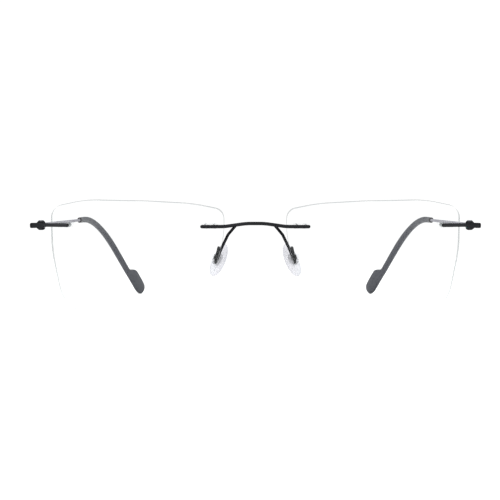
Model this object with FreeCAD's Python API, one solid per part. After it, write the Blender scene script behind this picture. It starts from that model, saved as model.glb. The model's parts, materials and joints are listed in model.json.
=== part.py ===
"""Rimless eyeglasses: two drilled lenses, a wire bridge, wire endpieces, hinged temples and nose pads.

Everything is modelled in millimetres in the worn frame: +X is the wearer's left, +Y runs back along
the temples, +Z is up, and the temples are level with the hinge axes upright. The left half is
modelled and the right half is its mirror image. At the end the whole pair is tipped and dropped onto
z = 0, where it stands on both lenses and both temple tips.
"""
import FreeCAD, Part
import math
import os
from FreeCAD import Placement, Rotation, Vector

X_AXIS = Vector(1, 0, 0)
Y_AXIS = Vector(0, 1, 0)
Z_AXIS = Vector(0, 0, 1)
ORIGIN = Vector(0, 0, 0)

# ---- driving dimensions, worn frame, millimetres and degrees ----
BRIDGE_GAP = 19.8          # between the lenses
LENS_HALF_WIDTH = 26.9
LENS_RADIUS = 105.0        # front surface
LENS_THICKNESS = 2.0
LENS_WRAP = 5.0            # each lens turned back at the temple side
LENS_TILT = 9.0            # top of the lens forward
LENS_CENTRE_Z = -9.6

# Outline of the left lens: corners (towards temple, up, rounding radius), clockwise from nasal top.
LENS_CORNERS = [
    (-26.9, 13.9, 3.4),
    (-17.5, 16.2, 50.0),
    (-3.0, 17.2, 100.0),
    (15.5, 17.35, 34.0),
    (26.9, 14.7, 4.2),
    (26.9, 1.5, 45.0),
    (24.7, -12.3, 14.0),
    (21.5, -17.6, 6.0),
    (-3.0, -17.8, 60.0),
    (-17.0, -15.6, 9.0),
    (-23.5, -6.5, 25.0),
    (-26.9, 6.0, 26.0),
]

NASAL_MOUNT_HEIGHT = 9.15      # above the lens centre, along the lens
TEMPORAL_MOUNT_HEIGHT = 9.5
HOLE_EDGE_DISTANCE = 2.5       # lens edge to the first hole
HOLE_PITCH = 2.75
HOLE_DIAMETER = 1.4

WIRE = 1.08                    # bridge wire
WIRE_LIFT = 0.03               # gap between wire and lens
PRONG = 0.78
PLUG_TUBE = 1.37
PLUG_BORE = 0.81
PLUG_FLANGE = 0.55
PLUG_GAP = 0.06                # between the flange and the hollow back of the lens
PLUG_FLANGE_HEIGHT = 1.75
PLUG_FLANGE_OVERHANG = 1.12    # flange past the centre of its outer tube

BRIDGE_OVER_LENS = 7.2         # length of wire lying on each lens
BRIDGE_TOP_HALF = 2.8          # where the slopes of the arch would meet its level top
BRIDGE_TOP_Y = -1.9
BRIDGE_TOP_Z = 0.84

ENDPIECE_OVER_LENS = 6.2
ENDPIECE_WIRE = 1.15
SLEEVING = 0.02                # the strip's round start is this much thicker than the wire in it
BEND_X = 69.65                 # centre line of the outermost run of the endpiece
BEND_HEIGHT = 1.6
BEND_THICKNESS = 0.95

HINGE = Vector(67.1, 10.3, 0.0)
BARREL_RADIUS = 1.25
BARREL_HALF = 1.5
BARREL_ROUNDING = 0.8          # at the barrel's ends
GUSSET_HALF = 1.15             # half height of the block that joins barrel and strip
GUSSET_ROUNDING = 0.45
KNUCKLE_HALF = 0.5             # half height of the temple's knuckle
WASHER = 0.1
HINGE_SLIP = 0.01              # axial gap on each side of a washer
HINGE_PIN = 0.6                # radius
HINGE_HEAD = 0.82              # radius
HINGE_HEAD_HEIGHT = 0.42
FOLD_CLEARANCE = 0.09          # around a barrel that turns

STRIP_THICKNESS = 0.8
STRIP_HEIGHT_FRONT = 1.45
STRIP_HEIGHT_BACK = 0.95
STRIP_EDGE = 0.3               # rounding along the strip
CORE = 0.9                     # wire inside the temple tip
NECK = 4.0                     # length over which the strip runs down to the core wire
NECK_END = 0.4                 # half size of the neck where it enters the core wire

# Centre line of the temple behind the hinge: (point, rounding radius)
TIP_START = Vector(63.4, 79.6, 0.0)
TEMPLE_ROUTE = [
    (TIP_START, 0.0),
    (Vector(63.03, 86.5, 0.0), 20.0),
    (Vector(59.8, 107.2, 0.0), 42.0),
    (Vector(45.7, 136.1, -30.8), 0.0),
]
CORE_DEPTH = 36.0              # how far the core wire goes into the tip

# Temple tip sections: (distance from its front or, if negative, from its end,
# half thickness, height above the centre line, height below it)
TIP_SECTIONS = [
    (0.0, 0.84, 0.96, 0.96),
    (1.2, 0.90, 1.04, 1.04),
    (12.0, 0.92, 1.08, 1.08),
    (24.0, 0.96, 1.12, 1.12),
    (38.0, 1.02, 1.15, 1.15),
    (-14.6, 1.02, 1.15, 1.15),
    (-13.6, 1.02, 1.3, 1.15),
    (-12.4, 1.0, 2.5, 1.15),
    (-11.2, 0.98, 3.5, 1.15),
    (-10.0, 0.97, 3.8, 1.15),
    (-5.5, 0.97, 3.85, 1.15),
    (-3.0, 0.95, 3.75, 1.1),
    (-1.9, 0.9, 3.65, 0.9),
    (-1.1, 0.82, 3.3, 0.6),
    (-0.5, 0.7, 2.8, 0.15),
    (0.0, 0.5, 2.2, -0.4),
]
TIP_STEPS = 44
TIP_ROLL = 35.0                # the paddle is turned this far to lie flat behind the ear
TIP_ROLL_START = 24.0          # distances from the tip's front between which it turns
TIP_ROLL_END = 50.0

ARM_WIRE = 0.9
# Nose pad arm: (point, rounding radius), from the underside of the bridge to the free end
ARM_ROUTE = [
    (Vector(5.9, -1.5, 0.3), 0.0),
    (Vector(8.4, 2.9, -2.7), 2.0),
    (Vector(10.5, 6.0, -7.0), 3.0),
    (Vector(12.3, 6.4, -11.5), 1.18),
    (Vector(12.48, 8.81, -11.5), 1.18),
    (Vector(11.46, 8.81, -7.0), 0.0),
]

PAD_ORIGIN = Vector(12.1, 10.6, -10.5)    # front face of the pad's round insert
PAD_SPLAY = 39.0                          # pad face away from straight sideways
PAD_UP = Vector(-0.39, 0.30, 1.0)         # long axis of the pad
PAD_LENGTH = 11.2
PAD_WIDTH = 6.0
PAD_DROP = 0.05                           # pad centre below its insert
# Nose pad layers: (distance behind the insert's face, share of the full outline)
PAD_LAYERS = [(0.25, 0.80), (0.5, 0.93), (1.05, 1.0), (1.6, 0.93), (2.05, 0.74), (2.3, 0.45)]
INSERT_RADIUS = 2.0
INSERT_THICKNESS = 0.7
INSERT_CLEARANCE = 0.02
PAD_AXIS_DEPTH = 1.0                      # pad screw in front of the insert's face
LUG_WIDTH = 0.8
LUG_RADIUS = 0.62
BOX_WALL = 0.3
BOX_GAP = 0.05
BOX_HALF_HEIGHT = 0.9
BOX_FRONT = -0.32
BOX_BACK = -2.05
PAD_PIN = 0.35
PAD_PIN_SLIP = 0.03
PAD_HEAD = 0.62
PAD_HEAD_HEIGHT = 0.35


# ---- curves and solids shared by several pieces ----
def rounded_edges(route):
    """Straight runs joined by tangent arcs through a list of (point, rounding radius)."""
    edges = []
    at = route[0][0]
    for (before, _), (corner, radius), (after, _) in zip(route, route[1:], route[2:]):
        back = (before - corner).normalize()
        ahead = (after - corner).normalize()
        half = back.getAngle(ahead) / 2
        tangent = radius / math.tan(half)
        start = corner + back * tangent
        end = corner + ahead * tangent
        middle = corner + (back + ahead).normalize() * (radius / math.sin(half) - radius)
        edges.append(Part.LineSegment(at, start).toShape())
        edges.append(Part.Arc(start, middle, end).toShape())
        at = end
    edges.append(Part.LineSegment(at, route[-1][0]).toShape())
    return edges


def closed_outline(corners):
    """A closed wire in the XZ plane: straight sides with rounded corners (x, z, radius)."""
    points = [(Vector(x, 0, z), radius) for x, z, radius in corners]
    first = (points[-1][0] + points[0][0]) * 0.5
    edges = rounded_edges([(first, 0)] + points + [(first, 0)])
    return Part.Wire(edges)


def along(edges, distance):
    """Point and unit direction at a distance along a chain of edges."""
    for edge in edges:
        if distance <= edge.Length or edge is edges[-1]:
            parameter = edge.getParameterByLength(min(distance, edge.Length))
            return edge.valueAt(parameter), edge.tangentAt(parameter).normalize()
        distance -= edge.Length


def length_of(edges):
    return sum(edge.Length for edge in edges)


def round_bar(edges, diameter, round_ends=(True, True)):
    """A round wire along a chain of lines and arcs, with ball ends where asked."""
    bars = []
    for edge in edges:
        start, heading = along([edge], 0)
        disc = Part.Face(Part.Wire(Part.makeCircle(diameter / 2, start, heading)))
        if isinstance(edge.Curve, Part.Circle):
            turn = math.degrees(edge.LastParameter - edge.FirstParameter)
            bars.append(disc.revolve(edge.Curve.Center, edge.Curve.Axis, turn))
        else:
            bars.append(disc.extrude(heading * edge.Length))
    ends = (along(edges, 0)[0], along(edges, length_of(edges))[0])
    for wanted, centre in zip(round_ends, ends):
        if wanted:
            bars.append(Part.makeSphere(diameter / 2, centre))
    if len(bars) == 1:
        return bars[0]
    return bars[0].fuse(bars[1:]).removeSplitter()


def oval(centre, side, up, half_side, half_up, power=2.0, points=12):
    """A closed smooth section: an ellipse, or squarer with a power above 2."""
    around = []
    for k in range(points):
        angle = 2 * math.pi * k / points
        c, s = math.cos(angle), math.sin(angle)
        across = math.copysign(abs(c) ** (2 / power), c) * half_side
        high = math.copysign(abs(s) ** (2 / power), s) * half_up
        around.append(centre + side * across + up * high)
    curve = Part.BSplineCurve()
    curve.interpolate(Points=around, PeriodicFlag=True)
    return Part.Wire(curve.toShape())


def rounded_block(centre, side, up, half_side, half_up, radius):
    """A closed rectangular section with rounded corners."""
    turns = [(1, 1), (-1, 1), (-1, -1), (1, -1)]
    corners = [centre + side * (a * half_side) + up * (b * half_up) for a, b in turns]
    first = (corners[-1] + corners[0]) * 0.5
    return Part.Wire(rounded_edges([(first, 0)] + [(p, radius) for p in corners] + [(first, 0)]))


def upright(direction, roll=0.0):
    """The outward and up directions of a section, its top leaning inwards by a roll in radians."""
    up = Vector(0, -direction.z, direction.y).normalize()
    across = direction.cross(up)
    c, s = math.cos(roll), math.sin(roll)
    return across * c + up * s, up * c - across * s


def cylinder(radius, start, end):
    return Part.makeCylinder(radius, (end - start).Length, start, end - start)


def placed(shape, placement):
    moved = shape.copy()
    moved.Placement = placement.multiply(moved.Placement)
    return moved


def one_solid(shape):
    """The shape as its single solid."""
    solids = shape.Solids
    assert len(solids) == 1, f"{len(solids)} solids where one was meant"
    return solids[0]


# ---- the lens and the frames of its two wire mounts ----
LENS_X = BRIDGE_GAP / 2 + LENS_HALF_WIDTH * math.cos(math.radians(LENS_WRAP))
LENS_PLACE = Placement(
    Vector(LENS_X, 0, LENS_CENTRE_Z),
    Rotation(Z_AXIS, LENS_WRAP).multiply(Rotation(X_AXIS, LENS_TILT)),
)


def mount_place(u, w):
    """Frame on the lens front at (u, w): x level towards the temple, y into the lens, z up."""
    depth = LENS_RADIUS - math.sqrt(LENS_RADIUS**2 - u**2 - w**2)
    turn = Rotation(Z_AXIS, math.degrees(math.asin(u / LENS_RADIUS)))
    lean = Rotation(X_AXIS, -math.degrees(math.asin(w / LENS_RADIUS)))
    place = LENS_PLACE.multiply(Placement(Vector(u, depth, w), turn.multiply(lean)))
    x_rise = place.Rotation.multVec(X_AXIS).z
    z_rise = place.Rotation.multVec(Z_AXIS).z
    level = Rotation(Y_AXIS, math.degrees(math.atan2(x_rise, z_rise)))
    return place.multiply(Placement(ORIGIN, level))


MOUNT_U = LENS_HALF_WIDTH - HOLE_EDGE_DISTANCE - HOLE_PITCH / 2
EDGE_FROM_MOUNT = HOLE_EDGE_DISTANCE + HOLE_PITCH / 2
NASAL = mount_place(-MOUNT_U, NASAL_MOUNT_HEIGHT)
TEMPORAL = mount_place(MOUNT_U, TEMPORAL_MOUNT_HEIGHT)
TUBE_OFFSETS = (-HOLE_PITCH / 2, HOLE_PITCH / 2)


def mount_holes():
    """Cutters for the four holes in the lens."""
    cutters = []
    for place in (NASAL, TEMPORAL):
        for x in TUBE_OFFSETS:
            hole = cylinder(HOLE_DIAMETER / 2, Vector(x, -2, 0), Vector(x, 5, 0))
            cutters.append(placed(hole, place))
    return cutters


def lens():
    front_reach = 1.0
    back_reach = 9.0
    outline = closed_outline(LENS_CORNERS)
    outline.translate(Vector(0, -front_reach, 0))
    blank = Part.Face(outline).extrude(Vector(0, front_reach + back_reach, 0))
    centre = Vector(0, LENS_RADIUS, 0)
    body = blank.common(Part.makeSphere(LENS_RADIUS, centre))
    body = body.cut(Part.makeSphere(LENS_RADIUS - LENS_THICKNESS, centre))
    body = placed(body, LENS_PLACE)
    for cutter in mount_holes():
        body = body.cut(cutter)
    return one_solid(body)


def plug():
    """Twin compression plug in its mount frame: two tubes in the holes and a flange behind the lens."""
    back = LENS_THICKNESS + PLUG_GAP
    reach = HOLE_PITCH / 2 + PLUG_FLANGE_OVERHANG
    round_half = PLUG_FLANGE_HEIGHT / 2
    flat = reach - round_half
    flange = Part.makeBox(2 * flat, PLUG_FLANGE, PLUG_FLANGE_HEIGHT, Vector(-flat, back, -round_half))
    for x in (-flat, flat):
        flange = flange.fuse(cylinder(round_half, Vector(x, back, 0), Vector(x, back + PLUG_FLANGE, 0)))
    flange = flange.removeSplitter()
    rear = [e for e in flange.Edges if all(v.Y > back + PLUG_FLANGE - 0.01 for v in e.Vertexes)]
    body = flange.makeFillet(0.15, rear)
    for x in TUBE_OFFSETS:
        body = body.fuse(cylinder(PLUG_TUBE / 2, Vector(x, 0.03, 0), Vector(x, back + 0.1, 0)))
    for x in TUBE_OFFSETS:
        body = body.cut(cylinder(PLUG_BORE / 2, Vector(x, -1, 0), Vector(x, back + 0.4, 0)))
    return one_solid(body.removeSplitter())


def prongs(place, wire):
    """The two pins behind a wire that go into the plug's tubes."""
    pins = []
    for x in TUBE_OFFSETS:
        start = Vector(x, -WIRE_LIFT - wire / 2, 0)
        pins.append(placed(cylinder(PRONG / 2, start, Vector(x, LENS_THICKNESS, 0)), place))
    return pins


# ---- bridge ----
def bridge():
    offset = -WIRE / 2 - WIRE_LIFT
    end = NASAL.multVec(Vector(BRIDGE_OVER_LENS - EDGE_FROM_MOUNT - WIRE / 2, offset, 0))
    rise = NASAL.multVec(Vector(-EDGE_FROM_MOUNT - 0.3, offset, 0))
    top = Vector(BRIDGE_TOP_HALF, BRIDGE_TOP_Y, BRIDGE_TOP_Z)
    half = [(end, 0), (rise, 6.0), (top, 12.0)]
    route = half + [(Vector(-p.x, p.y, p.z), radius) for p, radius in reversed(half)]
    body = round_bar(rounded_edges(route), WIRE)
    for pin in prongs(NASAL, WIRE):
        body = body.fuse([pin, pin.mirror(ORIGIN, X_AXIS)])
    return one_solid(body.removeSplitter())


# ---- endpiece and hinge ----
def hinge_cylinder(radius, low, high):
    return cylinder(radius, HINGE + Z_AXIS * low, HINGE + Z_AXIS * high)


KNUCKLE_GAP = KNUCKLE_HALF + WASHER + 2 * HINGE_SLIP


def endpiece_wire():
    """The wire on the lens, widening into the strip that bends back to the hinge."""
    offset = -ENDPIECE_WIRE / 2 - WIRE_LIFT
    inner_x = EDGE_FROM_MOUNT - ENDPIECE_OVER_LENS + ENDPIECE_WIRE / 2
    inner = TEMPORAL.multVec(Vector(inner_x, offset, 0))
    leave = TEMPORAL.multVec(Vector(EDGE_FROM_MOUNT + 1.6, offset, 0))
    route = [
        (inner, 0.0),
        (leave, 6.0),
        (Vector(BEND_X + 0.1, 6.2, 0), 1.5),
        (Vector(BEND_X, HINGE.y - 0.75, 0), 1.35),
        (Vector(HINGE.x + 0.35, HINGE.y - 0.75, 0), 0.0),
    ]
    edges = rounded_edges(route)
    total = length_of(edges)
    widen_start = (leave - inner).Length - 0.6
    widen_length = 4.0
    on_lens = round_bar([Part.LineSegment(inner, leave).toShape()], ENDPIECE_WIRE, (True, False))
    sections = []
    steps = 20
    for k in range(steps + 1):
        distance = widen_start + (total - widen_start) * k / steps
        point, heading = along(edges, distance)
        across, up = upright_in_plan(heading)
        share = min(1.0, (distance - widen_start) / widen_length)
        share = share * share * (3 - 2 * share)
        round_size = ENDPIECE_WIRE + SLEEVING
        half_side = (round_size + (BEND_THICKNESS - round_size) * share) / 2
        half_up = (round_size + (BEND_HEIGHT - round_size) * share) / 2
        sections.append(oval(point, across, up, half_side, half_up, 2.0 + 1.2 * share))
    return Part.makeLoft(sections, True, False), on_lens


def upright_in_plan(heading):
    """Across and up directions of a section of a nearly level strip."""
    across = heading.cross(Z_AXIS).normalize()
    return across, across.cross(heading)


def endpiece():
    strip, on_lens = endpiece_wire()
    body = on_lens.fuse(prongs(TEMPORAL, ENDPIECE_WIRE)).fuse(strip)
    gusset = Part.makeBox(
        BARREL_RADIUS, 1.1, 2 * GUSSET_HALF, HINGE + Vector(0, -BARREL_RADIUS, -GUSSET_HALF)
    )
    outer = HINGE.x + BARREL_RADIUS - 0.01
    corners = [e for e in gusset.Edges if e.BoundBox.XMin > outer and e.BoundBox.ZLength < 0.01]
    gusset = gusset.makeFillet(GUSSET_ROUNDING, corners)
    barrel = hinge_cylinder(BARREL_RADIUS, -BARREL_HALF, BARREL_HALF)
    rims = [e for e in barrel.Edges if e.BoundBox.ZLength < 0.01]
    barrel = barrel.makeFillet(BARREL_ROUNDING, rims)
    stop_x = HINGE.x + STRIP_THICKNESS / 2 + 0.03
    stop_half = BEND_HEIGHT / 2
    stop_end = HINGE.x + BARREL_RADIUS
    stop = Part.makeBox(
        stop_end - stop_x, 2.9, 2 * stop_half, Vector(stop_x, HINGE.y - 0.9, -stop_half)
    )
    tall = [e for e in stop.Edges if e.Vertexes[0].Y > HINGE.y + 1 and e.Vertexes[1].Y > HINGE.y + 1]
    stop = stop.makeFillet(0.2, tall)
    body = body.fuse([gusset, barrel, stop])
    inner_space = hinge_cylinder(BARREL_RADIUS + FOLD_CLEARANCE, -KNUCKLE_GAP, KNUCKLE_GAP)
    body = body.cut(inner_space)
    body = body.cut(hinge_cylinder(HINGE_PIN + HINGE_SLIP, -BARREL_HALF - 1, BARREL_HALF + 1))
    head_floor = BARREL_HALF - HINGE_HEAD_HEIGHT
    body = body.cut(hinge_cylinder(HINGE_HEAD + 0.05, head_floor, BARREL_HALF + 1))
    return one_solid(body.removeSplitter())


def hinge_screw():
    top = BARREL_HALF
    floor = BARREL_HALF - HINGE_HEAD_HEIGHT + HINGE_SLIP
    screw = hinge_cylinder(HINGE_PIN, -BARREL_HALF, floor + 0.1)
    head = hinge_cylinder(HINGE_HEAD, floor, top + 0.12)
    crown = [e for e in head.Edges if e.BoundBox.ZMin > top + 0.1]
    head = head.makeFillet(0.1, crown)
    slot = Part.makeBox(3, 0.24, 0.3, Vector(HINGE.x - 1.5, HINGE.y - 0.12, top - 0.12))
    return one_solid(screw.fuse(head).cut(slot).removeSplitter())


def hinge_washers():
    low = KNUCKLE_HALF + HINGE_SLIP
    rings = []
    for side in (-1, 1):
        ring = hinge_cylinder(BARREL_RADIUS, side * low, side * (low + WASHER))
        hole = hinge_cylinder(HINGE_PIN + 0.03, side * (low - 1), side * (low + 1))
        rings.append(ring.cut(hole))
    return Part.makeCompound(rings)


# ---- temple and its tip ----
TEMPLE_EDGES = rounded_edges(TEMPLE_ROUTE)
TIP_LENGTH = length_of(TEMPLE_EDGES)


def core_path(depth):
    """The temple's centre line from just ahead of the tip to a depth inside it."""
    ahead = along(TEMPLE_EDGES, 0)[1] * 1.5
    path = [Part.LineSegment(TIP_START - ahead, TIP_START).toShape()]
    for edge in TEMPLE_EDGES:
        if edge.Length > depth:
            end = edge.getParameterByLength(depth)
            path.append(edge.Curve.toShape(edge.FirstParameter, end))
            break
        path.append(edge)
        depth -= edge.Length
    return path


def temple():
    heading = (TIP_START - HINGE).normalize()
    across, up = upright_in_plan(heading)
    neck_start = TIP_START - heading * NECK
    strip = Part.makeLoft([
        rounded_block(HINGE, across, up, STRIP_THICKNESS / 2, STRIP_HEIGHT_FRONT / 2, STRIP_EDGE),
        rounded_block(neck_start, across, up, STRIP_THICKNESS / 2, STRIP_HEIGHT_BACK / 2, STRIP_EDGE),
        rounded_block(TIP_START - heading, across, up, NECK_END, NECK_END, NECK_END - 0.03),
    ], True, True)
    core = round_bar(core_path(CORE_DEPTH), CORE, (False, True))
    knuckle = hinge_cylinder(BARREL_RADIUS, -KNUCKLE_HALF, KNUCKLE_HALF)
    body = strip.fuse(core)
    for side in (-1, 1):
        ends = (side * KNUCKLE_HALF, side * (BARREL_HALF + 1))
        body = body.cut(hinge_cylinder(BARREL_RADIUS + FOLD_CLEARANCE, *ends))
    body = body.fuse(knuckle)
    body = body.cut(hinge_cylinder(HINGE_PIN + 0.03, -3, 3))
    return one_solid(body.removeSplitter())


def tip_profile(distance):
    """Half thickness and heights above and below the centre line at a distance from the tip's front."""
    rows = [(TIP_LENGTH + row[0] if row[0] <= 0 and k else row[0], *row[1:])
            for k, row in enumerate(TIP_SECTIONS)]
    for near, far in zip(rows, rows[1:]):
        if distance <= far[0]:
            share = (distance - near[0]) / (far[0] - near[0])
            return [a + (b - a) * share for a, b in zip(near[1:], far[1:])]
    return rows[-1][1:]


def tip_roll(distance):
    """How far the section is turned at a distance from the tip's front, in radians."""
    share = (distance - TIP_ROLL_START) / (TIP_ROLL_END - TIP_ROLL_START)
    share = min(1.0, max(0.0, share))
    return math.radians(TIP_ROLL) * share * share * (3 - 2 * share)


def temple_tip():
    sections = []
    for k in range(TIP_STEPS + 1):
        distance = TIP_LENGTH * k / TIP_STEPS
        half_side, above, below = tip_profile(distance)
        point, heading = along(TEMPLE_EDGES, distance)
        across, up = upright(heading, tip_roll(distance))
        centre = point + up * ((above - below) / 2)
        sections.append(oval(centre, across, up, half_side, (above + below) / 2, 2.5))
    body = Part.makeLoft(sections, True, False)
    bore = round_bar(core_path(CORE_DEPTH + 1.0), CORE + 0.04, (False, True))
    return one_solid(body.cut(bore))


# ---- nose pads ----
def pad_place():
    """Frame of the pad: x across it and back, y through it towards the nose, z along it and up."""
    splay = math.radians(PAD_SPLAY)
    up = Vector(PAD_UP).normalize()
    face = Vector(-math.cos(splay), math.sin(splay), 0)
    face = (face - up * face.dot(up)).normalize()
    return Placement(PAD_ORIGIN, Rotation(face.cross(up), face, up, "YZX"))


PAD = pad_place()


def pad_arm(bridge_body):
    arm = round_bar(rounded_edges(ARM_ROUTE), ARM_WIRE, (False, True))
    cheek = LUG_WIDTH / 2 + BOX_GAP + BOX_WALL
    joint = cylinder(0.55, Vector(-cheek - 0.5, -1.3, 0), Vector(-cheek - 0.005, -1.3, 0))
    body = arm.fuse(placed(joint, PAD)).cut(bridge_body)
    solids = sorted(body.Solids, key=lambda solid: solid.Volume)
    return solids[-1]


def pad_box():
    inner = LUG_WIDTH / 2 + BOX_GAP
    outer = inner + BOX_WALL
    slot_floor = -PAD_AXIS_DEPTH - LUG_RADIUS - 0.12
    block = Part.makeBox(
        2 * outer, BOX_FRONT - BOX_BACK, 2 * BOX_HALF_HEIGHT, Vector(-outer, BOX_BACK, -BOX_HALF_HEIGHT)
    )
    corners = [e for e in block.Edges if all(v.Y < BOX_BACK + 0.01 for v in e.Vertexes)]
    block = block.makeFillet(0.25, corners)
    slot = Part.makeBox(
        2 * inner, 3, 2 * BOX_HALF_HEIGHT + 1, Vector(-inner, slot_floor, -BOX_HALF_HEIGHT - 0.5)
    )
    axis = Vector(0, -PAD_AXIS_DEPTH, 0)
    hole = cylinder(PAD_PIN + 0.01, axis - X_AXIS * 2, axis + X_AXIS * 2)
    return one_solid(placed(block.cut(slot).cut(hole), PAD))


def pad_insert():
    disc = cylinder(INSERT_RADIUS, ORIGIN, Vector(0, INSERT_THICKNESS, 0))
    axis = Vector(0, -PAD_AXIS_DEPTH, 0)
    half = X_AXIS * (LUG_WIDTH / 2)
    lug = cylinder(LUG_RADIUS, axis - half, axis + half)
    web = Part.makeBox(
        LUG_WIDTH, PAD_AXIS_DEPTH + 0.1, 2 * LUG_RADIUS,
        Vector(-LUG_WIDTH / 2, -PAD_AXIS_DEPTH, -LUG_RADIUS),
    )
    body = disc.fuse([lug, web])
    body = body.cut(cylinder(PAD_PIN + PAD_PIN_SLIP, axis - X_AXIS * 2, axis + X_AXIS * 2))
    return one_solid(placed(body.removeSplitter(), PAD))


def pad_screw():
    outer = LUG_WIDTH / 2 + BOX_GAP + BOX_WALL
    axis = Vector(0, -PAD_AXIS_DEPTH, 0)
    shaft = cylinder(PAD_PIN, axis - X_AXIS * outer, axis + X_AXIS * (outer + 0.05))
    head = cylinder(
        PAD_HEAD, axis + X_AXIS * (outer + 0.005), axis + X_AXIS * (outer + PAD_HEAD_HEIGHT)
    )
    rim = [e for e in head.Edges if e.BoundBox.XMin > outer + PAD_HEAD_HEIGHT - 0.01]
    head = head.makeFillet(0.1, rim)
    slot = Part.makeBox(
        0.3, 0.2, 2, Vector(outer + PAD_HEAD_HEIGHT - 0.15, -PAD_AXIS_DEPTH - 0.1, -1)
    )
    return one_solid(placed(shaft.fuse(head).cut(slot).removeSplitter(), PAD))


def nose_pad():
    centre = Vector(0, 0, -PAD_DROP)
    layers = []
    for depth, share in PAD_LAYERS:
        middle = centre + Y_AXIS * depth
        half_x = PAD_WIDTH / 2 * share
        half_z = PAD_LENGTH / 2 * share
        layers.append(oval(middle, X_AXIS, Z_AXIS, half_x, half_z, 2.15))
    body = Part.makeLoft(layers, True, False)
    depth = INSERT_THICKNESS + INSERT_CLEARANCE
    pocket = cylinder(INSERT_RADIUS + INSERT_CLEARANCE, Vector(0, -1, 0), Vector(0, depth, 0))
    return one_solid(placed(body.cut(pocket), PAD))


# ---- the assembly ----
def worn_pieces():
    """Every node in the worn frame."""
    bridge_body = bridge()
    half = {
        "lens": lens(),
        "nasal_plug": placed(plug(), NASAL),
        "temporal_plug": placed(plug(), TEMPORAL),
        "endpiece": endpiece(),
        "hinge_screw": hinge_screw(),
        "hinge_washers": hinge_washers(),
        "temple": temple(),
        "temple_tip": temple_tip(),
        "pad_arm": pad_arm(bridge_body),
        "pad_box": pad_box(),
        "pad_insert": pad_insert(),
        "pad_screw": pad_screw(),
        "nose_pad": nose_pad(),
    }
    pieces = {"bridge": bridge_body}
    for name, shape in half.items():
        pieces[name + "_left"] = shape
        pieces[name + "_right"] = shape.mirror(ORIGIN, X_AXIS)
    return pieces


def standing_place(pieces):
    """Tips the pair until lenses and temple tips share a lowest level, then centres it on z = 0."""
    pitch = 1.8
    for _ in range(5):
        turn = Placement(ORIGIN, Rotation(X_AXIS, pitch))
        front = placed(pieces["lens_left"], turn).optimalBoundingBox(False)
        back = placed(pieces["temple_tip_left"], turn).optimalBoundingBox(False)
        span = back.YMax - front.YMax
        pitch += math.degrees(math.atan((front.ZMin - back.ZMin) / span))
    turn = Placement(ORIGIN, Rotation(X_AXIS, pitch))
    boxes = [placed(shape, turn).optimalBoundingBox(False) for shape in pieces.values()]
    low_y = min(box.YMin for box in boxes)
    high_y = max(box.YMax for box in boxes)
    low_z = min(box.ZMin for box in boxes)
    print(f"standing pitch {pitch:.3f}, depth {high_y - low_y:.2f}")
    return Placement(Vector(0, -(low_y + high_y) / 2, -low_z), turn.Rotation)


WORN = worn_pieces()
STAND = standing_place(WORN)
PIECES = {name: placed(shape, STAND) for name, shape in WORN.items()}

os.makedirs("parts", exist_ok=True)
for name, shape in sorted(PIECES.items()):
    assert shape.isValid(), f"{name} is not a valid shape"
    shape.exportStep(f"parts/{name}.step")
    print(f"{name}: {shape.Volume:.2f} mm3")
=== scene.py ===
"""Rimless eyeglasses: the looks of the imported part, in a plain white studio.

Everything is in metres in the part's own frame: +X is the wearer's left, the lenses face -Y,
+Z is up and the pair stands on z = 0. Sizes are in millimetres where their name ends in _MM or
where they belong to the worn frame, in which the temples are level; worn() brings those points
into the part's frame.
"""
import json
import math

import bmesh
import bpy
from mathutils import Matrix, Vector


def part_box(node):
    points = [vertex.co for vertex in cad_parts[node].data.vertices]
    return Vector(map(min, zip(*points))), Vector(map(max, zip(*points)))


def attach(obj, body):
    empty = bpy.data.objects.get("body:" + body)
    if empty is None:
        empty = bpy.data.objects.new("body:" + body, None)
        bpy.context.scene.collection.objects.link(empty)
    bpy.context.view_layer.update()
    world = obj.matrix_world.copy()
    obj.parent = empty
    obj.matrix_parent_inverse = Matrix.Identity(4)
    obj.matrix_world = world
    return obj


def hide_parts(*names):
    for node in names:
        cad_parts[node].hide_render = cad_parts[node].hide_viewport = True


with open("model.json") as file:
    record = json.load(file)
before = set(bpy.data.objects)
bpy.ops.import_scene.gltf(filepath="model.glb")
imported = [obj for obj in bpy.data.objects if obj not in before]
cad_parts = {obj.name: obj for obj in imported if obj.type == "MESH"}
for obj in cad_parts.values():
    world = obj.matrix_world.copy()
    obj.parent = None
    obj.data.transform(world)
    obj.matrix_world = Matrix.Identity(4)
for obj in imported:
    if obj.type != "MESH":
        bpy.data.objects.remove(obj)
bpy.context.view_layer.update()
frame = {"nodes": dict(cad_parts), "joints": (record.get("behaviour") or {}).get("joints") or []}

MM = 0.001
SIDES = (("left", 1), ("right", -1))

# ---- the worn frame, found again from the left hinge ----
HINGE_WORN = Vector((67.1, 10.3, 0.0))


def standing_matrix():
    """The matrix from worn-frame millimetres to the part's frame."""
    hinge = next(j for j in frame["joints"] if j["name"] == "temple_left_fold")
    axis = Vector(hinge["axis"])
    pitch = math.atan2(-axis.y, axis.z)
    turn = Matrix.Rotation(pitch, 4, "X")
    place = Vector(hinge["pos_m"]) - turn @ (HINGE_WORN * MM)
    return Matrix.Translation(place) @ turn @ Matrix.Scale(MM, 4)


STANDING = standing_matrix()


def worn(point, side=1):
    """A worn-frame point of the left half, or its mirror image, in the part's frame."""
    return STANDING @ Vector((point[0] * side, point[1], point[2]))


# ---- the temple tips' measures ----
# Centre line of the left tip, worn frame: (point, rounding radius)
TIP_ROUTE = [
    ((63.4, 79.6, 0.0), 0.0),
    ((63.03, 86.5, 0.0), 20.0),
    ((59.8, 107.2, 0.0), 42.0),
    ((45.7, 136.1, -30.8), 0.0),
]
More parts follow.
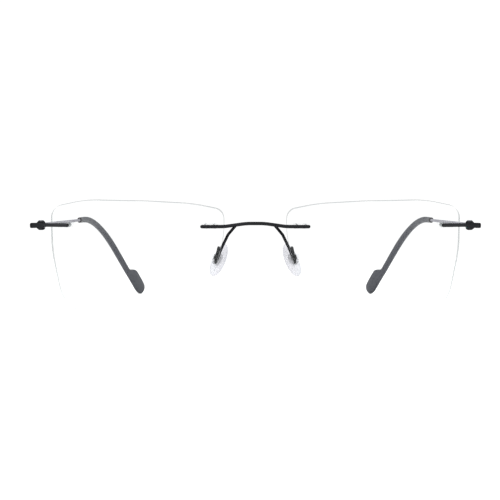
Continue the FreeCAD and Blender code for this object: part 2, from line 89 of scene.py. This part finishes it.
# (distance from the tip's front or, if negative, from its end; half thickness; then the heights
# above and below the centre line)
TIP_PROFILE = [
    (0.0, 0.62, 0.72, 0.72),
    (0.25, 0.84, 0.96, 0.96),
    (1.0, 0.90, 1.04, 1.04),
    (1.5, 0.86, 0.99, 0.99),
    (12.0, 0.92, 1.08, 1.08),
    (24.0, 0.96, 1.12, 1.12),
    (38.0, 1.02, 1.15, 1.15),
    (-14.6, 1.02, 1.15, 1.15),
    (-13.6, 1.02, 1.3, 1.15),
    (-12.4, 1.0, 2.5, 1.15),
    (-11.2, 0.98, 3.5, 1.15),
    (-10.0, 0.97, 3.8, 1.15),
    (-5.5, 0.97, 3.85, 1.15),
    (-3.0, 0.95, 3.75, 1.1),
    (-1.9, 0.9, 3.65, 0.9),
    (-1.1, 0.82, 3.3, 0.6),
    (-0.5, 0.7, 2.8, 0.15),
    (-0.01, 0.5, 2.2, -0.4),
]
TIP_ROLL = math.radians(35.0)      # the paddle is turned this far to lie flat behind the ear
TIP_ROLL_START = 24.0              # distances from the tip's front between which it turns
TIP_ROLL_END = 50.0
TIP_SQUARENESS = 2.4               # superellipse power of a section; 2 is a plain ellipse
TIP_STEPS = 96
TIP_RING_POINTS = 28
# how far back from the tip's front the painted shade on the sleeve's front lip reaches
LIP_SHADE_LENGTH_MM = 1.25
LIP_SHADE_FADE_MM = 0.3                  # the painted shade on the lip fades out over this length


# ---- materials ----
def new_material(name, base, **inputs):
    """A Principled material; inputs are its socket names with underscores for spaces."""
    material = bpy.data.materials.new(name)
    material.use_nodes = True
    shader = material.node_tree.nodes["Principled BSDF"]
    shader.inputs["Base Color"].default_value = (*base, 1.0)
    for key, value in inputs.items():
        shader.inputs[key.replace("_", " ")].default_value = value
    return material, material.node_tree, shader


def noise(tree, scale, stretch=(1, 1, 1), detail=4.0, roughness=0.5):
    """A noise texture in the part's own coordinates, scale in features per metre."""
    where = tree.nodes.new("ShaderNodeTexCoord")
    mapping = tree.nodes.new("ShaderNodeMapping")
    mapping.inputs["Scale"].default_value = [scale * s for s in stretch]
    texture = tree.nodes.new("ShaderNodeTexNoise")
    texture.inputs["Scale"].default_value = 1.0
    texture.inputs["Detail"].default_value = detail
    texture.inputs["Roughness"].default_value = roughness
    tree.links.new(where.outputs["Object"], mapping.inputs["Vector"])
    tree.links.new(mapping.outputs["Vector"], texture.inputs["Vector"])
    return texture.outputs["Fac"]


def spread(tree, value, low, high, start=0.3, end=0.7):
    """A value mapped from start..end to low..high."""
    node = tree.nodes.new("ShaderNodeMapRange")
    node.inputs["From Min"].default_value = start
    node.inputs["From Max"].default_value = end
    node.inputs["To Min"].default_value = low
    node.inputs["To Max"].default_value = high
    tree.links.new(value, node.inputs["Value"])
    return node.outputs["Result"]


def blend_colours(tree, share, first, second):
    """A colour between two, by a share from 0 to 1; the first may be another node's output."""
    node = tree.nodes.new("ShaderNodeMix")
    node.data_type = "RGBA"
    if isinstance(first, bpy.types.NodeSocket):
        tree.links.new(first, node.inputs["A"])
    else:
        node.inputs["A"].default_value = (*first, 1.0)
    node.inputs["B"].default_value = (*second, 1.0)
    tree.links.new(share, node.inputs["Factor"])
    return node.outputs["Result"]


def object_axis(tree, axis):
    """One coordinate of the part's own frame."""
    where = tree.nodes.new("ShaderNodeTexCoord")
    split = tree.nodes.new("ShaderNodeSeparateXYZ")
    tree.links.new(where.outputs["Object"], split.inputs["Vector"])
    return split.outputs[axis]


def product(tree, first, second):
    """Two values multiplied."""
    node = tree.nodes.new("ShaderNodeMath")
    node.operation = "MULTIPLY"
    tree.links.new(first, node.inputs[0])
    tree.links.new(second, node.inputs[1])
    return node.outputs["Value"]


def add_bump(tree, shader, height, depth_mm, strength):
    """Surface relief from a height value."""
    node = tree.nodes.new("ShaderNodeBump")
    node.inputs["Strength"].default_value = strength
    node.inputs["Distance"].default_value = depth_mm * MM
    tree.links.new(height, node.inputs["Height"])
    tree.links.new(node.outputs["Normal"], shader.inputs["Normal"])


def worn_edges(tree):
    """A value that is 0 on flats and rises to 1 along convex edges."""
    geometry = tree.nodes.new("ShaderNodeNewGeometry")
    return spread(tree, geometry.outputs["Pointiness"], 0.0, 1.0, 0.53, 0.6)


METAL_GRAIN_MM = 0.004


def brushed_metal(name, base, edge, roughness, stretch, metallic=1.0, grazing=1.0):
    """Drawn or brushed metal with fine lines along one axis and brighter edges.

    grazing is how much of the light it returns where it is seen edge-on.
    """
    material, tree, shader = new_material(name, base, Metallic=metallic)
    shader.inputs["Specular Tint"].default_value = (grazing, grazing, grazing, 1.0)
    lines = noise(tree, 1.0, stretch, 3.0, 0.6)
    cloud = noise(tree, 220.0)
    colour = blend_colours(tree, worn_edges(tree), base, edge)
    tree.links.new(colour, shader.inputs["Base Color"])
    rough = spread(tree, cloud, roughness * 0.85, roughness * 1.2)
    tree.links.new(rough, shader.inputs["Roughness"])
    add_bump(tree, shader, lines, METAL_GRAIN_MM, 0.5)
    return material


def rubber_material():
    """Slate-grey soft-touch rubber with a fine moulded grain; a painted shade darkens its rolled
    front lip.
    """
    light, dark = (0.029, 0.031, 0.042), (0.022, 0.024, 0.034)
    # The lip colour is painted shade: it stands for the shade on the sleeve's front end, not a
    # darker rubber.
    lip_painted_shade = (0.014, 0.011, 0.014)
    material, tree, shader = new_material("tip_rubber", dark, Specular_IOR_Level=0.25)
    mottle = noise(tree, 350.0, detail=5.0)
    colour = blend_colours(tree, spread(tree, mottle, 0.0, 1.0), dark, light)
    # The painted shade covers the front of the sleeve and fades out behind it.
    lip_shade_end = worn(TIP_ROUTE[0][0]).y + LIP_SHADE_LENGTH_MM * MM
    depth = object_axis(tree, "Y")
    lip_shade_share = spread(tree, depth, 1.0, 0.0, lip_shade_end - LIP_SHADE_FADE_MM * MM, lip_shade_end)
    colour = blend_colours(tree, lip_shade_share, colour, lip_painted_shade)
    tree.links.new(colour, shader.inputs["Base Color"])
    tree.links.new(spread(tree, mottle, 0.40, 0.54), shader.inputs["Roughness"])
    add_bump(tree, shader, noise(tree, 6500.0, detail=2.0), 0.006, 0.25)
    return material


def see_through(name, tint, rim, haze, roughness, rim_blend):
    """Clear material drawn without bending the view, greyer where it is seen edge-on.

    haze is the share that scatters light where it is seen face-on, and rim_blend sets how far
    in from its outline the grey reaches.
    """
    material, tree, shader = new_material(name, rim, Roughness=roughness)
    clear = tree.nodes.new("ShaderNodeBsdfTransparent")
    clear.inputs["Color"].default_value = (*tint, 1.0)
    edge_on = tree.nodes.new("ShaderNodeLayerWeight")
    edge_on.inputs["Blend"].default_value = rim_blend
    body = spread(tree, edge_on.outputs["Facing"], haze, 1.0, 0.15, 1.0)
    mix = tree.nodes.new("ShaderNodeMixShader")
    tree.links.new(body, mix.inputs["Fac"])
    tree.links.new(clear.outputs["BSDF"], mix.inputs[1])
    tree.links.new(shader.outputs["BSDF"], mix.inputs[2])
    tree.links.new(mix.outputs["Shader"], tree.nodes["Material Output"].inputs["Surface"])
    return material, tree, shader


def silicone_material():
    """Clear silicone, slightly milky and cool, with a soft satin skin."""
    tint, milk, pale_milk = (0.93, 0.93, 0.945), (0.50, 0.505, 0.54), (0.64, 0.64, 0.68)
    material, tree, shader = see_through("pad_silicone", tint, milk, 0.19, 0.3, 0.45)
    cloud = noise(tree, 500.0, detail=3.0)
    tree.links.new(spread(tree, cloud, 0.22, 0.34), shader.inputs["Roughness"])
    tree.links.new(blend_colours(tree, cloud, milk, pale_milk), shader.inputs["Base Color"])
    add_bump(tree, shader, noise(tree, 1800.0, detail=2.0), 0.01, 0.2)
    return material


def clear_plastic(name, rim, rim_blend):
    """Clear moulded plastic with faint flow marks."""
    material, tree, shader = see_through(name, (0.985, 0.985, 0.985), rim, 0.03, 0.1, rim_blend)
    flow = noise(tree, 900.0, (1.0, 0.4, 1.0), 3.0)
    tree.links.new(spread(tree, flow, 0.07, 0.15), shader.inputs["Roughness"])
    add_bump(tree, shader, flow, 0.006, 0.4)
    return material


def nylon_material():
    """Off-white nylon."""
    material, tree, shader = new_material("nylon", (0.72, 0.71, 0.68), Subsurface_Weight=0.2)
    shader.inputs["Subsurface Scale"].default_value = 0.2 * MM
    tree.links.new(spread(tree, noise(tree, 3000.0), 0.35, 0.5), shader.inputs["Roughness"])
    return material


LENS_EDGE_COVER = 0.5           # how much of the view the ground lens edge hides
LENS_EDGE_FACING = (0.55, 0.8)  # |normal Y| up to which it is all edge, and from which all face
LENS_FLOOR_LIGHT_MM = (2.0, 8.0)       # heights over the floor between which a painted light from the pale floor fades off the edge and the edge gains strength
LENS_FLOOR_LIGHT_EDGE_LOW = 0.3             # its strength at the bottom, where the painted floor light washes it out


def lens_faces(tree):
    """The polished, hard-coated faces: clear, with more tint and gloss as they are seen aslant."""
    tint, deep = (0.985, 0.99, 0.99), (0.70, 0.745, 0.745)
    aslant = tree.nodes.new("ShaderNodeLayerWeight")
    aslant.inputs["Blend"].default_value = 0.5
    aslant = aslant.outputs["Facing"]
    clear = tree.nodes.new("ShaderNodeBsdfTransparent")
    depth = spread(tree, aslant, 0.0, 1.0, 0.45, 1.0)
    tree.links.new(blend_colours(tree, depth, tint, deep), clear.inputs["Color"])
    gloss = tree.nodes.new("ShaderNodeBsdfGlossy")
    gloss.inputs["Color"].default_value = (0.95, 0.97, 0.965, 1.0)
    swirl = noise(tree, 120.0, detail=3.0)
    tree.links.new(spread(tree, swirl, 0.02, 0.05), gloss.inputs["Roughness"])
    faces = tree.nodes.new("ShaderNodeMixShader")
    tree.links.new(spread(tree, aslant, 0.015, 0.28, 0.35, 1.0), faces.inputs["Fac"])
    tree.links.new(clear.outputs["BSDF"], faces.inputs[1])
    tree.links.new(gloss.outputs["BSDF"], faces.inputs[2])
    return faces.outputs["Shader"]


def lens_material():
    """Clear lens; its ground edge is a hazier grey band, made fainter near the floor by painted
    light from the floor.
    """
    material, tree, shader = new_material("lens", (0.17, 0.178, 0.182), Roughness=0.35)
    geometry = tree.nodes.new("ShaderNodeNewGeometry")
    split = tree.nodes.new("ShaderNodeSeparateXYZ")
    facing = tree.nodes.new("ShaderNodeMath")
    facing.operation = "ABSOLUTE"
    tree.links.new(geometry.outputs["True Normal"], split.inputs["Vector"])
    tree.links.new(split.outputs["Y"], facing.inputs[0])
    edge = spread(tree, facing.outputs["Value"], LENS_EDGE_COVER, 0.0, *LENS_EDGE_FACING)
    low, high = (height * MM for height in LENS_FLOOR_LIGHT_MM)
    # Painted light: the edge band thins out towards the floor, as if lit from the pale floor below.
    floor_light_fade = spread(tree, object_axis(tree, "Z"), LENS_FLOOR_LIGHT_EDGE_LOW, 1.0, low, high)
    grind = noise(tree, 2600.0, (0.3, 4.0, 0.3), 3.0)
    cover = product(tree, product(tree, edge, floor_light_fade), spread(tree, grind, 0.9, 1.0))
    tree.links.new(spread(tree, grind, 0.3, 0.5), shader.inputs["Roughness"])
    ground = tree.nodes.new("ShaderNodeMixShader")
    tree.links.new(cover, ground.inputs["Fac"])
    tree.links.new(lens_faces(tree), ground.inputs[1])
    tree.links.new(shader.outputs["BSDF"], ground.inputs[2])
    tree.links.new(ground.outputs["Shader"], tree.nodes["Material Output"].inputs["Surface"])
    return material


BLACK_WIRE = brushed_metal(
    "black_wire", (0.020, 0.0205, 0.0225), (0.028, 0.0285, 0.031), 0.36, (90, 6500, 6500),
    grazing=0.25,
)
TEMPLE_METAL = brushed_metal(
    "temple_metal", (0.20, 0.195, 0.225), (0.27, 0.265, 0.30), 0.55, (7000, 80, 7000),
    metallic=0.1, grazing=0.4,
)
BOX_METAL = brushed_metal(
    "box_metal", (0.86, 0.86, 0.88), (0.94, 0.94, 0.96), 0.55, (3000, 3000, 3000)
)
SCREW = brushed_metal(
    "screw", (0.22, 0.22, 0.24), (0.5, 0.5, 0.52), 0.28, (3500, 3500, 200)
)
PLUG_RIM = (0.62, 0.63, 0.65)
MATERIALS = {
    "bridge": BLACK_WIRE,
    "endpiece": BLACK_WIRE,
    "pad_arm": BLACK_WIRE,
    "temple": TEMPLE_METAL,
    "pad_box": BOX_METAL,
    "hinge_screw": SCREW,
    "pad_screw": BOX_METAL,
    "hinge_washers": nylon_material(),
    "nasal_plug": clear_plastic("clear_plug", PLUG_RIM, 0.45),
    "temporal_plug": clear_plastic("clear_plug_temple", PLUG_RIM, 0.45),
    # The insert's edge grey is much darker than the plugs' of the same plastic: painted shade for
    # the disc inside the pad.
    "pad_insert": clear_plastic("pad_insert", (0.24, 0.245, 0.26), 0.45),
    "lens": lens_material(),
}
RUBBER = rubber_material()
SILICONE = silicone_material()


def base_name(node):
    """A node's name without its side."""
    for side, _ in SIDES:
        node = node.removesuffix("_" + side)
    return node


# ---- CAD nodes that are shown as they are ----
BEVELS_MM = {"endpiece": 0.05, "temple": 0.04, "pad_box": 0.05, "hinge_washers": 0.02}
WELD_MM = 0.0005


def dress_cad_node(node, obj):
    """Joins the split corners of a CAD mesh, rounds its sharp edges and gives it its material."""
    kind = base_name(node)
    if kind not in MATERIALS:
        return
    obj.data.materials.clear()
    obj.data.materials.append(MATERIALS[kind])
    weld = obj.modifiers.new("weld", "WELD")
    weld.merge_threshold = WELD_MM * MM
    if kind in BEVELS_MM:
        bevel = obj.modifiers.new("edge", "BEVEL")
        bevel.width = BEVELS_MM[kind] * MM
        bevel.segments = 2
        bevel.limit_method = "ANGLE"
        bevel.angle_limit = math.radians(50)
        bevel.use_clamp_overlap = True


for node_name, node_object in frame["nodes"].items():
    dress_cad_node(node_name, node_object)


# ---- mesh helpers ----
def piece_from_rings(name, rings, material):
    """A closed, smoothed mesh through rings of equal length, capped at both ends."""
    mesh = bmesh.new()
    made = [[mesh.verts.new(point) for point in ring] for ring in rings]
    count = len(rings[0])
    for near, far in zip(made, made[1:]):
        for k in range(count):
            mesh.faces.new((near[k], near[(k + 1) % count], far[(k + 1) % count], far[k]))
    mesh.faces.new(reversed(made[0]))
    mesh.faces.new(made[-1])
    bmesh.ops.recalc_face_normals(mesh, faces=mesh.faces)
    data = bpy.data.meshes.new(name)
    mesh.to_mesh(data)
    mesh.free()
    data.shade_smooth()
    data.materials.append(material)
    obj = bpy.data.objects.new(name, data)
    bpy.context.scene.collection.objects.link(obj)
    subdivision = obj.modifiers.new("smooth", "SUBSURF")
    subdivision.levels = subdivision.render_levels = 1
    return obj


def superellipse(centre, across, up, half_across, half_up, power, count):
    """A ring of points; the higher the power, the squarer it is."""
    ring = []
    for k in range(count):
        angle = 2 * math.pi * k / count
        c, s = math.cos(angle), math.sin(angle)
        x = math.copysign(abs(c) ** (2 / power), c) * half_across
        z = math.copysign(abs(s) ** (2 / power), s) * half_up
        ring.append(centre + across * x + up * z)
    return ring


# ---- temple tips ----
def rounded_route(route, steps=12):
    """Points along straight runs joined by tangent arcs, each arc in equal steps."""
    points = [Vector(route[0][0])]
    for (before, _), (corner, radius), (after, _) in zip(route, route[1:], route[2:]):
        corner = Vector(corner)
        back = (Vector(before) - corner).normalized()
        ahead = (Vector(after) - corner).normalized()
        half = back.angle(ahead) / 2
        centre = corner + (back + ahead).normalized() * (radius / math.sin(half))
        start = corner + back * (radius / math.tan(half)) - centre
        end = corner + ahead * (radius / math.tan(half)) - centre
        turn = start.angle(end)
        for k in range(steps + 1):
            share = k / steps
            near, far = math.sin((1 - share) * turn), math.sin(share * turn)
            points.append(centre + (start * near + end * far) / math.sin(turn))
    points.append(Vector(route[-1][0]))
    return points


def along(points, distance):
    """Point and direction at a distance along a chain of points."""
    for near, far in zip(points, points[1:]):
        length = (far - near).length
        if distance <= length or far is points[-1]:
            heading = (far - near) / length
            return near + heading * min(distance, length), heading
        distance -= length


def tip_section(distance, length):
    """Half thickness and heights above and below the centre line at a distance along the tip."""
    rows = [(length + d if d < 0 else d, *sizes) for d, *sizes in TIP_PROFILE]
    for near, far in zip(rows, rows[1:]):
        if distance <= far[0]:
            share = (distance - near[0]) / (far[0] - near[0])
            share = max(0.0, share)
            return [a + (b - a) * share for a, b in zip(near[1:], far[1:])]
    return rows[-1][1:]


def tip_roll(distance):
    """How far the section is turned at a distance from the tip's front."""
    share = (distance - TIP_ROLL_START) / (TIP_ROLL_END - TIP_ROLL_START)
    share = min(1.0, max(0.0, share))
    return TIP_ROLL * share * share * (3 - 2 * share)


def temple_tip(side_name, side):
    """Soft moulded tip: a slim sleeve with a rolled lip, bent down behind the ear to a paddle."""
    points = rounded_route(TIP_ROUTE)
    length = sum((b - a).length for a, b in zip(points, points[1:]))
    rings = []
    for k in range(TIP_STEPS + 1):
        distance = length * k / TIP_STEPS
        half_side, above, below = tip_section(distance, length)
        centre, heading = along(points, distance)
        up = Vector((0, -heading.z, heading.y)).normalized()
        across = heading.cross(up)
        roll = tip_roll(distance)
        across, up = (across * math.cos(roll) + up * math.sin(roll),
                      up * math.cos(roll) - across * math.sin(roll))
        middle = centre + up * ((above - below) / 2)
        half_up = (above + below) / 2
        ring = superellipse(middle, across, up, half_side, half_up, TIP_SQUARENESS, TIP_RING_POINTS)
        rings.append([worn(point, side) for point in ring])
    tip = piece_from_rings(f"soft_tip_{side_name}", rings, RUBBER)
    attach(tip, "temple_" + side_name)
    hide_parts("temple_tip_" + side_name)


for name, sign in SIDES:
    temple_tip(name, sign)


# ---- nose pads ----
PAD_ORIGIN = Vector((12.1, 10.6, -10.5))           # front face of the pad's round insert
PAD_SPLAY = math.radians(39.0)                     # pad face away from straight sideways
PAD_UP = Vector((-0.39, 0.30, 1.0)).normalized()   # long axis of the pad
PAD_LENGTH = 11.2
PAD_WIDTH = 6.0
PAD_NARROWING = 0.1                                # of the width, at the top; as much wider below
PAD_DROP = 0.05                                    # pad centre below its insert
PAD_RING_POINTS = 40
# (distance from the insert's front face towards the nose, share of the outline)
PAD_LAYERS = [(0.30, 0.62), (0.22, 0.84), (0.42, 0.955), (0.85, 1.0), (1.3, 0.985), (1.75, 0.9),
              (2.12, 0.7), (2.3, 0.42), (2.36, 0.15)]


def pad_axes():
    """Across, towards the nose, and up, in the worn frame."""
    face = Vector((-math.cos(PAD_SPLAY), math.sin(PAD_SPLAY), 0))
    face = (face - PAD_UP * face.dot(PAD_UP)).normalized()
    return face.cross(PAD_UP), face, PAD_UP


def pad_outline():
    """Egg-shaped outline in the pad's plane, wider below than above."""
    outline = []
    for k in range(PAD_RING_POINTS):
        angle = 2 * math.pi * k / PAD_RING_POINTS
        c, s = math.cos(angle), math.sin(angle)
        width = PAD_WIDTH * (1.0 - PAD_NARROWING * s)
        outline.append((c * width / 2, s * PAD_LENGTH / 2))
    return outline


def nose_pad(side_name, side):
    """Silicone pad, dished where it meets the insert and crowned towards the nose."""
    across, face, up = pad_axes()
    centre = PAD_ORIGIN - up * PAD_DROP
    outline = pad_outline()
    rings = []
    for depth, share in PAD_LAYERS:
        middle = centre + face * depth
        ring = [middle + (across * x + up * z) * share for x, z in outline]
        rings.append([worn(point, side) for point in ring])
    pad = piece_from_rings(f"silicone_pad_{side_name}", rings, SILICONE)
    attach(pad, "pad_" + side_name)
    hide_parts("nose_pad_" + side_name)


for name, sign in SIDES:
    nose_pad(name, sign)


# ---- studio ----
FLOOR_RADIUS = 6.0
FLOOR_SHADE = 0.97
BACKDROP_STRENGTH = 1.06


def white_floor():
    """A broad, matt, nearly white floor that the pair stands on."""
    mesh = bmesh.new()
    bmesh.ops.create_circle(mesh, cap_ends=True, segments=96, radius=FLOOR_RADIUS)
    data = bpy.data.meshes.new("floor")
    mesh.to_mesh(data)
    mesh.free()
    floor = bpy.data.objects.new("floor", data)
    bpy.context.scene.collection.objects.link(floor)
    material, _, shader = new_material("floor", [FLOOR_SHADE] * 3, Roughness=0.9)
    shader.inputs["Specular IOR Level"].default_value = 0.0
    data.materials.append(material)


def soft_box(name, place, aim, size, watts):
    """A rectangular area light that points at a spot."""
    light = bpy.data.lights.new(name, "AREA")
    light.shape = "RECTANGLE"
    light.size, light.size_y = size
    light.energy = watts
    obj = bpy.data.objects.new(name, light)
    obj.location = place
    obj.rotation_euler = (Vector(aim) - Vector(place)).to_track_quat("-Z", "Y").to_euler()
    bpy.context.scene.collection.objects.link(obj)


def studio():
    """White surroundings, the floor and two soft lights."""
    world = bpy.data.worlds.new("studio")
    world.use_nodes = True
    backdrop = world.node_tree.nodes["Background"]
    backdrop.inputs["Color"].default_value = (1.0, 1.0, 1.0, 1.0)
    backdrop.inputs["Strength"].default_value = BACKDROP_STRENGTH
    bpy.context.scene.world = world
    bpy.context.scene.view_settings.view_transform = "Standard"
    white_floor()
    soft_box("top_light", (0.0, 0.05, 0.7), (0, 0, 0), (0.8, 0.8), 3.0)
    soft_box("key_light", (-0.5, -0.6, 0.6), (0, 0, 0.02), (0.5, 0.5), 1.5)


studio()


# ---- camera ----
CAMERA_AHEAD = 0.455        # in front of the lenses
CAMERA_HEIGHT = 0.0264
CAMERA_PITCH = math.radians(0.872)
CAMERA_YAW = math.radians(0.204)
CAMERA_LENS = 107.34


def add_camera():
    """A camera ahead of the lenses, at about their height."""
    front = min(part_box("lens_" + name)[0].y for name, _ in SIDES)
    camera = bpy.data.objects.new("camera", bpy.data.cameras.new("camera"))
    camera.data.lens = CAMERA_LENS
    camera.data.sensor_width = 36.0
    camera.data.clip_start = 0.01
    camera.location = (0.0, front - CAMERA_AHEAD, CAMERA_HEIGHT)
    camera.rotation_euler = (math.radians(90) - CAMERA_PITCH, 0.0, CAMERA_YAW)
    bpy.context.scene.collection.objects.link(camera)
    bpy.context.scene.camera = camera


add_camera()
